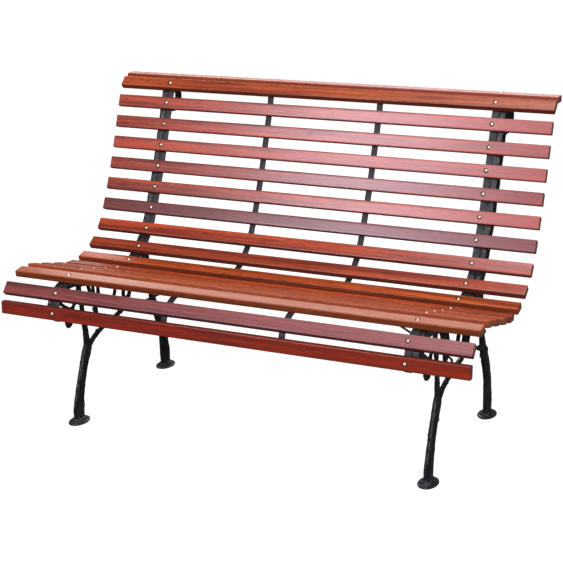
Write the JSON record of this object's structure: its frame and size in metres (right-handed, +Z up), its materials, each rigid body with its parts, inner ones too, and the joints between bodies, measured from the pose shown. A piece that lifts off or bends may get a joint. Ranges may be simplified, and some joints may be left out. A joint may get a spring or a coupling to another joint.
{
  "type": "park bench",
  "caption": "Park bench of wooden slats bolted along two S-curved cast-iron end frames shaped like branches, with a rolled top, back straps and diagonal braces.",
  "frame": {"origin": "middle of the bench's footprint, on the ground", "axes": "+X along the slats to the sitter's left, +Y from the seat's front to the back, +Z up"},
  "size_m": [1.3, 0.7584, 0.8749],
  "materials": {
    "varnished_wood": "red-brown varnish, satin to gloss",
    "cast_frame": "black paint on rough casting, semi-gloss",
    "painted_steel": "black paint, semi-gloss",
    "bolt_brass": "polished, slightly tarnished",
    "plated_steel": "dull zinc plate"
  },
  "bodies": {
    "root": {"front_slat_1": "varnished_wood", "front_slat_2": "varnished_wood", "seat_slat_1": "varnished_wood", "seat_slat_2": "varnished_wood", "seat_slat_3": "varnished_wood", "seat_slat_4": "varnished_wood", "seat_slat_5": "varnished_wood", "seat_slat_6": "varnished_wood", "back_slat_1": "varnished_wood", "back_slat_2": "varnished_wood", "back_slat_3": "varnished_wood", "back_slat_4": "varnished_wood", "back_slat_5": "varnished_wood", "back_slat_6": "varnished_wood", "back_slat_7": "varnished_wood", "back_slat_8": "varnished_wood", "back_slat_9": "varnished_wood", "cap_slat": "varnished_wood", "right_end_frame": "cast_frame", "right_strap": "painted_steel", "right_brace": "painted_steel", "right_slat_bolts": "bolt_brass", "right_slat_washers": "plated_steel", "right_slat_nuts": "plated_steel", "right_strap_screws": "plated_steel", "right_brace_screws": "plated_steel", "left_end_frame": "cast_frame", "left_strap": "painted_steel", "left_brace": "painted_steel", "left_slat_bolts": "bolt_brass", "left_slat_washers": "plated_steel", "left_slat_nuts": "plated_steel", "left_strap_screws": "plated_steel", "left_brace_screws": "plated_steel"}
  },
  "joints": []
}
